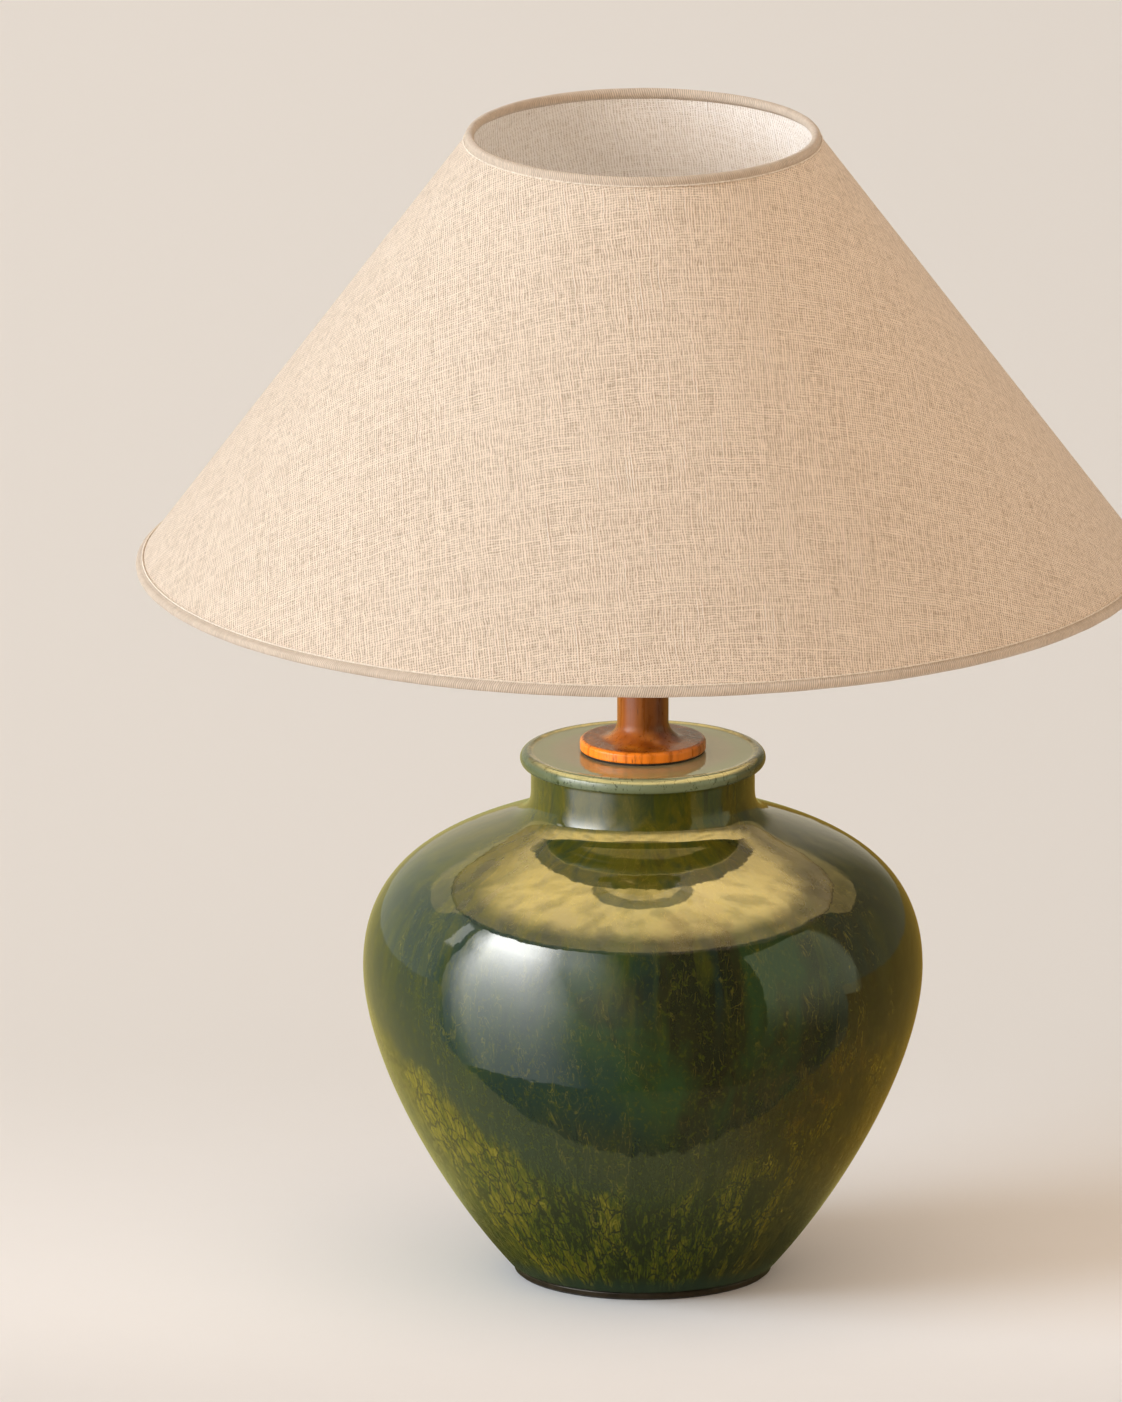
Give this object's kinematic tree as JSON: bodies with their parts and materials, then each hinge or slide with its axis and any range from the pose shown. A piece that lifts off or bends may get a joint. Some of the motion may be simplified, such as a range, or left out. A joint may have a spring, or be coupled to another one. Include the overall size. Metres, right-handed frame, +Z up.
{
  "type": "table lamp",
  "caption": "Bedside lamp: glazed ceramic vase body on a felted plate, turned wooden neck, push-bar screw lamp holder with clear bulb, and a wide linen cone shade on a wire carrier.",
  "frame": {"origin": "on the table, under the middle of the foot", "axes": "+Z up the rod, +Y to the back where the cord outlet is, +X along the switch bar"},
  "size_m": [0.4, 0.4, 0.4634],
  "materials": {
    "glaze": "high gloss reactive glaze, green over olive, crackled low down",
    "plate": "dark bronze stoving enamel, gloss",
    "felt": "black wool felt",
    "steel": "zinc plated",
    "brass": "satin lacquered brass",
    "wood": "red-brown hardwood, satin lacquer",
    "gasket": "thin black rubber sheet",
    "bush": "black moulded nylon",
    "moulding": "dark brown phenolic moulding",
    "porcelain": "white unglazed porcelain",
    "linen": "natural slubby linen, plain weave",
    "liner": "pale woven liner on stiff backing",
    "tape": "linen tape rolled round the wire",
    "wire": "white powder coat",
    "bulb_glass": "clear",
    "bulb_metal": "rolled screw cap",
    "vitrite": "black glassy insulator",
    "filament": "yellow phosphor coat",
    "driver": "potted driver"
  },
  "bodies": {
    "base": {"felt_pad": "felt", "base_plate": "plate", "base_washer": "steel", "base_nut": "steel", "threaded_rod": "steel", "ceramic_body": "glaze", "cord_bush": "bush", "neck_gasket": "gasket", "wooden_neck": "wood", "check_ring": "brass", "holder_cap": "brass", "set_screw": "steel", "lock_nut": "steel", "switch_block": "moulding", "switch_contacts": "brass", "holder_core": "porcelain", "terminal_screws": "brass", "centre_contact": "brass", "screw_shell": "brass", "holder_skirt": "moulding"},
    "switch": {"push_bar": "brass", "bar_tips": "moulding", "contact_bridge": "brass"},
    "clamp": {"shade_ring": "moulding"},
    "shade": {"carrier_ring": "wire", "carrier_spokes": "wire", "bottom_ring": "wire", "top_ring": "wire", "shade_linen": "linen", "shade_liner": "liner", "bottom_binding": "tape", "top_binding": "tape"},
    "bulb_tip": {"bulb_contact": "bulb_metal"},
    "bulb": {"bulb_insulator": "vitrite", "bulb_cap": "bulb_metal", "bulb_driver": "driver", "bulb_glass": "bulb_glass", "bulb_stem": "bulb_glass", "filament_stars": "steel", "bulb_filaments": "filament"}
  },
  "joints": [
    {"name": "switch_push", "type": "slide", "parent": "base", "child": "switch", "axis": [1, 0, 0], "range_m": [0, 0.006]},
    {"name": "shade_turn", "type": "hinge", "parent": "base", "child": "shade", "pos_m": [0, 0, 0.307], "axis": [0, 0, 1], "continuous": true},
    {"name": "ring_turn", "type": "hinge", "parent": "base", "child": "clamp", "pos_m": [0, 0, 0.312], "axis": [0, 0, 1], "range_deg": [0, 360]},
    {"name": "bulb_rise", "type": "slide", "parent": "base", "child": "bulb_tip", "axis": [0, 0, 1], "range_m": [0, 0.0146]},
    {"name": "bulb_turn", "type": "hinge", "parent": "bulb_tip", "child": "bulb", "pos_m": [0, 0, 0.313], "axis": [0, 0, 1], "range_deg": [0, 1440]}
  ],
  "couplings": [
    {"joint": "bulb_rise", "follows": "bulb_turn", "m_per_rad": 0.00057757}
  ]
}
